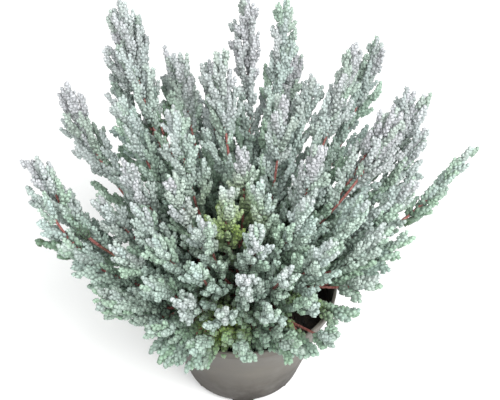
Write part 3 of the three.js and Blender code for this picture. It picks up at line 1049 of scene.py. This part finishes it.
# %% Leaf colours
SILVER_GREEN = np.array(linear("#aabdb0")[:3])
SILVER_BLUE = np.array(linear("#abbbb8")[:3])
LAVENDER_GREY = np.array(linear("#b9b9be")[:3])
MINT_GREEN = np.array(linear("#9cb59f")[:3])
DEEP_GREEN_AND_SHADE = np.array(linear("#628165")[:3])
OLD_GREEN_AND_SHADE = np.array(linear("#3d4e33")[:3])
FRESH_GREEN = np.array(linear("#8fa832")[:3])
SUN_HEIGHTS = (100, 200)  # millimetres: below them deep green and painted shade, above them sun leaves
PAINTED_SHADE_HEIGHTS = (85, 150)  # painted shade: the lowest leaves are darker,
PAINTED_SHADE_REACH = (50, 76)  # but not those that hang outside the others
MINT_SHARE = 0.2  # of the twigs
TWIG_TINT = 0.06  # how much lighter or darker one twig is than the next
TWIG_SILVER = 0.22  # how much more or less lavender-grey
LEAF_TINT = 0.07  # how much lighter or darker one leaf is than the next
# Where fresh shoots stand: the middle (mm), how far they reach, and how strong their green is
FRESH_PLACES = [
    ((-7, 1, 142), 24, 0.85),
    ((-12, -46, 92), 17, 0.95),
    ((-24, -28, 90), 16, 0.6),
    ((40, -36, 90), 15, 0.9),
]


def mixed(a, b, share):
    share = np.clip(share, 0, 1)[:, None]
    return a * (1 - share) + b * share


def freshness(points):
    """How fresh the shoots at these points are, from 0 to 1."""
    most = np.zeros(len(points))
    for middle, reach, strength in FRESH_PLACES:
        away = np.linalg.norm(points - np.array(middle), axis=1) / reach
        most = np.maximum(most, strength * np.exp(-(away**3)))
    return most


def colour_rule(stem, rng, base_height):
    """How a twig's leaves are coloured: `base_height` is where on the plume it stands, from 0 to 1."""
    tint = rng.normal(0, TWIG_TINT)
    silver = 1.1 * stem.silver - 0.2 + rng.normal(0, TWIG_SILVER)
    blue = rng.uniform(0, 1)
    young = rng.uniform(0.55, 1)
    mint = 0.8 * (rng.random() < MINT_SHARE)

    def colour(points, share):
        height = np.clip(base_height + 0.2 * share, 0, 1)
        sun = np.clip(np.interp(points[:, 2], SUN_HEIGHTS, (0, 1)), 0, 1)
        tone = mixed(SILVER_GREEN, SILVER_BLUE, np.full(len(points), blue))
        tone = mixed(tone, LAVENDER_GREY, (silver + 0.6 * sun) * height * (0.5 + 0.5 * sun))
        tone = mixed(tone, MINT_GREEN, mint * (1 - 0.5 * sun))
        inside = np.interp(np.hypot(points[:, 0], points[:, 1]), PAINTED_SHADE_REACH, (1, 0))
        # painted shade: low and inside the bush the leaves take the darker deep green
        shaded = (0.85 - 1.7 * sun) * (0.5 + 0.5 * inside)
        tone = mixed(tone, DEEP_GREEN_AND_SHADE, np.maximum(0.9 - 1.7 * height, shaded))
        # the old leaves' brownish green at the foot of a plume, darkened further as painted shade
        tone = mixed(tone, OLD_GREEN_AND_SHADE, 1.1 - 5 * height)
        tone = mixed(tone, FRESH_GREEN, freshness(points) * young)
        light = 0.9 + 0.2 * share + rng.normal(0, LEAF_TINT, len(points)) + tint
        # painted shade: the leaves low and inside the bush are made darker still
        light *= 0.94 - 0.26 * inside * np.interp(points[:, 2], PAINTED_SHADE_HEIGHTS, (1, 0))
        return tone * light[:, None]

    return colour


# %% [markdown]
# ## Building a plume
# A plume is its stem, its side shoots, and on the longer of these still shorter twigs. Every twig is clothed
# with leaves. The stem hides behind them, apart from a few stretches high in the bush that have lost their
# shoots, where it shows crimson.

# %% One plume
STEM_RADII = (1.15, 0.65)  # at its lowest leaves and at its tip
LONG_SIDE = 16  # side shoots longer than this carry fingers
TWIG_FIRST = 5
TWIG_SPACING = 6.6
TWIG_LONGEST = 10
TWIG_LEAN = 36
TWIG_TURN = math.radians(137.5)
FINGER_SPACING = 5.2  # short shoots straight on the stem, between its longer ones
FINGER_LENGTHS = (10, 14)
FINGER_LEAN = 38
FINGER_BEND = 0.45  # a finger turns up until it nearly lies along the stem
FINGER_THICKNESS = 3
BARE_SHARE = 0.15  # of the low fingers, which are missing
RED_LENGTHS = (12, 22)  # of the stretches where the red stem shows between leafy ones
RED_EVERY = 60  # one such stretch for each so many millimetres of leafy stem
RED_ABOVE = 118  # millimetres high: below it the leaves hide the stems
RED_SHARE = 0.65  # of the leafy stem, counted from its foot: only there is it bare in places
ROOM_BELOW = (3, 6)  # how far below a red stretch a finger and a side shoot must stand
TOP_SHARE = 0.72  # from here up the stem itself is clothed
BARE_BELOW = 0.6  # the height on the plume up to which fingers may be missing


def rising(start, heading, along, length, bend):
    """A path that leaves along `heading` and turns up towards `along`. `bend` is the tangent of the turn."""
    lift = along - heading * np.dot(along, heading)
    lift = lift / max(np.linalg.norm(lift), 1e-6)

    def path(distance):
        distance = np.asarray(distance, float)[..., None]
        return start + heading * distance + lift * (bend * distance**2 / (2 * length))

    return path


open_table = columns(open_stretches)


def direction(path, distance):
    return unit(path(distance + 0.5) - path(distance - 0.5))


def has_room(path, length):
    """Whether a short shoot stays clear of the pot, the peat and the open gaps."""
    room = LEAF_LENGTH * 0.7
    if not (clear_of_pot(path(length), room) and clear_of_pot(path(length / 2), room)):
        return False
    away = gaps_to(path(0), path(length), open_table)
    return bool((away > open_table["radius"] + FINGER_THICKNESS).all())


def grow_finger(foliage, path, distance, turn, lean, length, colour, rng, size=0.95):
    """A short shoot without twigs of its own, clothed to its blunt tip."""
    along = direction(path, distance)
    spoke = turned(square_to(along), along, turn)
    lean = math.radians(lean)
    heading = math.cos(lean) * along + math.sin(lean) * spoke
    finger = rising(path(distance), heading, along, length, FINGER_BEND)
    if has_room(finger, length):
        foliage.clothe(finger, 1.8, length, size, colour, rng)


def grow_branch(foliage, stem, side, rng):
    """A side shoot, which turns up along the stem and carries fingers where it is long."""
    along = direction(stem.at, stem.side_place(side["order"]))
    length = stem.spread(side["height"]) * side["length"] * (1 + 0.2 * side["height"] ** 2)
    path = rising(side["start"], side["heading"], along, length, FINGER_BEND)
    colour = colour_rule(stem, rng, side["height"])
    foliage.twigs.append(tube(path(np.linspace(0, 5, 3)), [0.6, 0.55, 0.45], 5))
    foliage.clothe(path, 2.5, length, 1.0, colour, rng)
    if length < LONG_SIDE:
        return
    for k, distance in enumerate(np.arange(TWIG_FIRST, length - 3, TWIG_SPACING)):
        finger_length = min(TWIG_LONGEST, 4.5 + 0.4 * (length - distance)) * rng.uniform(0.85, 1.1)
        grow_finger(foliage, path, distance, k * TWIG_TURN + stem.roll, TWIG_LEAN, finger_length, colour, rng)


def red_stretches(stem, rng):
    """Where a plume's stem stands bare, as pairs of distances along it."""
    leafy = stem.length - stem.bare
    count = int(leafy / RED_EVERY)
    lows = stem.bare + leafy * RED_SHARE * (np.arange(count) + rng.uniform(0.1, 0.7, count)) / max(count, 1)
    lows = [low for low in lows if stem.at(low)[2] > RED_ABOVE]
    return [(low, low + rng.uniform(*RED_LENGTHS)) for low in lows]


def on_red(distance, red, below):
    """Whether a shoot at this distance would hide one of the red stretches."""
    return any(low - below < distance < high for low, high in red)


def build_plume(stem):
    rng = np.random.default_rng(500 + stem.number)
    foliage = Foliage()
    leafy = stem.length - stem.bare
    red = red_stretches(stem, np.random.default_rng(900 + stem.number))
    steps = np.linspace(stem.bare - 6, stem.length - 1, max(8, int(stem.length / 7)))
    radii = np.interp(steps, [stem.bare, stem.length], STEM_RADII)
    foliage.twigs.append(tube(stem.at(steps), radii, 6))
    top = stem.bare + TOP_SHARE * leafy
    foliage.clothe(stem.at, top, stem.length + 0.6, 1.0, colour_rule(stem, rng, 0.75), rng)
    for k, distance in enumerate(np.arange(stem.bare + 2, stem.length - 4, FINGER_SPACING)):
        height = (distance - stem.bare) / leafy
        full = min(rng.uniform(*FINGER_LENGTHS), 5 + 0.6 * (stem.length - distance))
        length = stem.spread(height) * full
        if height < BARE_BELOW and rng.random() < BARE_SHARE:
            continue
        if on_red(distance, red, ROOM_BELOW[0]):
            continue
        turn = k * TWIG_TURN + stem.sway
        colour = colour_rule(stem, rng, 0.8 * height)
        grow_finger(foliage, stem.at, distance, turn, FINGER_LEAN - 8 * height, length, colour, rng)
    for side in stem.sides:
        later = side["order"] % 1 > 0
        if later and on_red(stem.side_place(side["order"]), red, ROOM_BELOW[1]):
            continue
        grow_branch(foliage, stem, side, rng)
    return foliage


# %% The pieces
leaf_counts = []


def foliage_piece(name, foliage):
    """One mesh of all the leaves, coloured corner by corner, and all the twigs."""
    corners, faces, colours = foliage.leaves()
    leaf_faces_end = len(faces)
    leaf_counts.append(sum(len(roots) for roots in foliage.roots))
    if foliage.twigs:
        corners, faces = joined_arrays([(corners, faces)] + foliage.twigs)
    piece = piece_from(name, corners, faces)
    mesh = piece.data
    tint = mesh.color_attributes.new("leaf_colour", "FLOAT_COLOR", "POINT")
    values = np.ones((len(corners), 4), np.float32)
    values[: len(colours), :3] = colours
    tint.data.foreach_set("color", values.ravel())
    mesh.polygons.foreach_set("material_index", (np.arange(len(faces)) >= leaf_faces_end).astype(np.int32))
    mesh.polygons.foreach_set("use_smooth", np.ones(len(faces), bool))
    return piece


def make_plume(stem):
    return foliage_piece(f"heather_shoot_{stem.number:02d}", build_plume(stem))


plumes = [make_plume(stem) for stem in stems]
low_plumes = [make_plume(stem) for stem in creeping + between]
print("leaves:", sum(leaf_counts), "triangles:", sum(len(p.data.polygons) for p in plumes + low_plumes))

# %% [markdown]
# The bare lower stems are not quite bare: short leafy shoots break from the old wood, and hide the crown.

# %% Short shoots on the old wood
BASAL_FIRST = 7
BASAL_SPACING = 4.5
BASAL_LEAN = 52
BASAL_LENGTHS = (7, 12)
BASAL_SHARE = 0.75  # of the places for them that carry one
BASAL_HEIGHT = 0.05  # they are coloured like the foot of a plume, with its painted shade
basal = Foliage()
rng = np.random.default_rng(77)
for stem in stems:
    for k, distance in enumerate(np.arange(BASAL_FIRST, stem.bare, BASAL_SPACING)):
        turn = k * TWIG_TURN + stem.swing
        length = rng.uniform(*BASAL_LENGTHS)
        if rng.random() < BASAL_SHARE:
            colour = colour_rule(stem, rng, BASAL_HEIGHT)
            grow_finger(basal, stem.at, distance, turn, BASAL_LEAN, length, colour, rng, 0.9)
basal_shoots = foliage_piece("basal_shoots", basal)
print("leaves with basal shoots:", sum(leaf_counts))

# %% [markdown]
# A hairy leaf scatters light at its edges, which a little sheen gives. Its colour comes from the attribute
# that each leaf carries, broken up by fine noise, and its hairs from a bump that is coarser than the real
# ones, which would be too fine to see.

# %% Hoary leaf
HAIR_SIZE = 0.35  # millimetres
SPECKLE_SIZE = 1.1
leaf_skin, tree, place = new_material("hoary_scale_leaf")
own = add(tree, "ShaderNodeAttribute", {"attribute_name": "leaf_colour"})
speckle = add(tree, "ShaderNodeTexNoise", {"Scale": 1 / (SPECKLE_SIZE * MM), "Detail": 3.0}, Vector=place)
shade = add(
    tree, "ShaderNodeValToRGB", {"stops": [(0.3, "#e0e3e0"), (0.7, "#ffffff")]}, Fac=speckle.outputs["Fac"]
)
colour = add(
    tree,
    "ShaderNodeMixRGB",
    {"blend_type": "MULTIPLY", "Fac": 1.0},
    Color1=own.outputs["Color"],
    Color2=shade.outputs["Color"],
)
hairs = add(tree, "ShaderNodeTexNoise", {"Scale": 1 / (HAIR_SIZE * MM), "Detail": 2.0}, Vector=place)
bump = add(tree, "ShaderNodeBump", {"Strength": 0.35, "Distance": 0.15 * MM}, Height=hairs.outputs["Fac"])
skin = add(
    tree,
    "ShaderNodeBsdfPrincipled",
    {"Roughness": 0.75, "Specular IOR Level": 0.2, "Sheen Weight": 0.15, "Sheen Roughness": 0.5},
    Base_Color=colour.outputs["Color"],
    Normal=bump.outputs["Normal"],
)
finish_material(leaf_skin, skin)

# %% [markdown]
# The bark of the old wood is dull brown and flakes. On this year's stems it is thinner, smoother and crimson.
# Both are made by one recipe, with their own colours, roughness and depth of flakes.

# %% Bark, old and young
FLAKE_SIZE = 1.5


def bark_of(name, stops, roughness, bump_strength, bump_depth):
    """A flaking bark: noise at the size of a flake gives both its colours and its relief."""
    bark, tree, place = new_material(name)
    flakes = add(tree, "ShaderNodeTexNoise", {"Scale": 1 / (FLAKE_SIZE * MM), "Detail": 6.0}, Vector=place)
    colour = add(tree, "ShaderNodeValToRGB", {"stops": stops}, Fac=flakes.outputs["Fac"])
    relief = {"Strength": bump_strength, "Distance": bump_depth * MM}
    bump = add(tree, "ShaderNodeBump", relief, Height=flakes.outputs["Fac"])
    rind = add(
        tree,
        "ShaderNodeBsdfPrincipled",
        {"Roughness": roughness},
        Base_Color=colour.outputs["Color"],
        Normal=bump.outputs["Normal"],
    )
    finish_material(bark, rind)
    return bark


old_stops = [(0.3, "#3f2620"), (0.5, "#6e4338"), (0.75, "#957061")]
young_stops = [(0.3, "#5a2f2c"), (0.5, "#88504b"), (0.75, "#b0857e")]
old_bark = bark_of("old_flaking_bark", old_stops, 0.6, 0.5, 0.15)
young_bark = bark_of("young_crimson_bark", young_stops, 0.5, 0.4, 0.1)

# %% Each plume stands for its plain solid, and the others ride along
for stem, plume in zip(stems, plumes):
    hand_over(plume, f"leafy_shoot_{stem.number:02d}", "leaf", leaf_skin, young_bark)
for piece in low_plumes + [basal_shoots]:
    hand_over(piece, None, "leaf", leaf_skin, young_bark)
print("foliage pieces:", len(plumes) + len(low_plumes) + 1)

# %% [markdown]
# ## The woody crown
# Old heather stands on a knot of wood as thick as a thumb, from which the bare stems part. Each stem is a
# tapering tube along its own arc, and the knot is a gnarled lump that swallows their roots.

# %% Crown and bare stems
CROWN_DEPTH = 9  # how far it reaches into the peat
KNOT_RADIUS = 11.6
KNOT_RISE = 9  # above the point from which the stems part
STEM_ROOT = -4  # how far back inside the knot a stem starts
STEM_THICKNESS = (0.9, 1.35, 0.9)  # the radius at its root, just outside the knot and at its first leaves
GNARL = 0.14  # how far the knot swells and shrinks, as a share of its radius
WIDEST = 1.02
let_go()
bpy.ops.mesh.primitive_uv_sphere_add(segments=28, ring_count=18, radius=1)
knot = bpy.context.object
knot.name = "woody_crown_and_stems"
knot_low = SOIL_TOP - CROWN_DEPTH + CLEARANCE
knot_high = CROWN_TOP + KNOT_RISE
knot_middle = (knot_low + knot_high) / 2
bpy.ops.transform.resize(value=(KNOT_RADIUS * MM, KNOT_RADIUS * MM, (knot_high - knot_low) / 2 * MM))
bpy.ops.transform.translate(value=(0, 0, knot_middle * MM))
settle(knot)
for vertex in knot.data.vertices:
    x, y, z = vertex.co / MM
    gnarl = min(1 + GNARL * noise.noise(Vector((x, y, z)) * 0.22), WIDEST)
    vertex.co.x *= gnarl
    vertex.co.y *= gnarl

bare_stems = []
for stem in stems + creeping + between:
    steps = np.linspace(STEM_ROOT, stem.bare - 0.4, max(9, stem.bare // 4))
    knobs = 1 + 0.08 * np.sin(steps * 1.3 + stem.sway)
    radii = np.interp(steps, [STEM_ROOT, 1, stem.bare], STEM_THICKNESS) * knobs
    bare_stems.append(tube(stem.at(steps), radii, 8))
take_in(knot, piece_from("bare_stems", *joined_arrays(bare_stems)))
hand_over(knot, "woody_crown", "wood", old_bark)
print("crown:", len(knot.data.polygons), "faces")

# %% [markdown]
# ## Floor and light
# A plain white table and two large soft lights from above the front: the key on the right, so that the
# plumes shade each other gently, and a weaker fill a little to the left, so that their left sides stay light.

# %% The stage
let_go()
bpy.ops.mesh.primitive_plane_add(size=6, location=(0, 0, 0))
floor = bpy.context.object
floor.name = "floor"
table_white, tree, place = new_material("white_table")
cloud = add(tree, "ShaderNodeTexNoise", {"Scale": 2.0}, Vector=place)
colour = add(
    tree, "ShaderNodeValToRGB", {"stops": [(0.0, "#f6f6f6"), (1.0, "#fafafa")]}, Fac=cloud.outputs["Fac"]
)
paint = add(tree, "ShaderNodeBsdfPrincipled", {"Roughness": 0.9}, Base_Color=colour.outputs["Color"])
finish_material(table_white, paint)
floor.data.materials.append(table_white)
floor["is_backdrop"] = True

world = bpy.data.worlds.new("studio")
world.use_nodes = True
world.node_tree.nodes["Background"].inputs["Color"].default_value = linear("#f5f7f6")
world.node_tree.nodes["Background"].inputs["Strength"].default_value = 0.75
bpy.context.scene.world = world
bpy.context.scene.view_settings.view_transform = "Standard"
LIT_POINT = Vector((0, 0, 0.12))


def softbox(name, place, size, watts):
    """A square light, its place and size in metres, aimed at the middle of the bush."""
    bpy.ops.object.light_add(type="AREA", location=place)
    light = bpy.context.object
    light.name = name
    light.data.size = size
    light.data.energy = watts
    light.rotation_euler = (LIT_POINT - light.location).to_track_quat("-Z", "Y").to_euler()
    return light


softbox("key", (0.75, -0.7, 1.2), 0.9, 26)
softbox("fill", (-0.25, -0.95, 1.1), 0.9, 15)

# %% [markdown]
# ## Finish
# The finished bush's box is measured and set beside the construction model's box.

# %% Measure and finish
numbers = lambda box: [[float(x) for x in corner] for corner in box]
{"cad": numbers(cad_box), "visual": numbers(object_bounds())}
print("visual box:", numbers(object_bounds()))
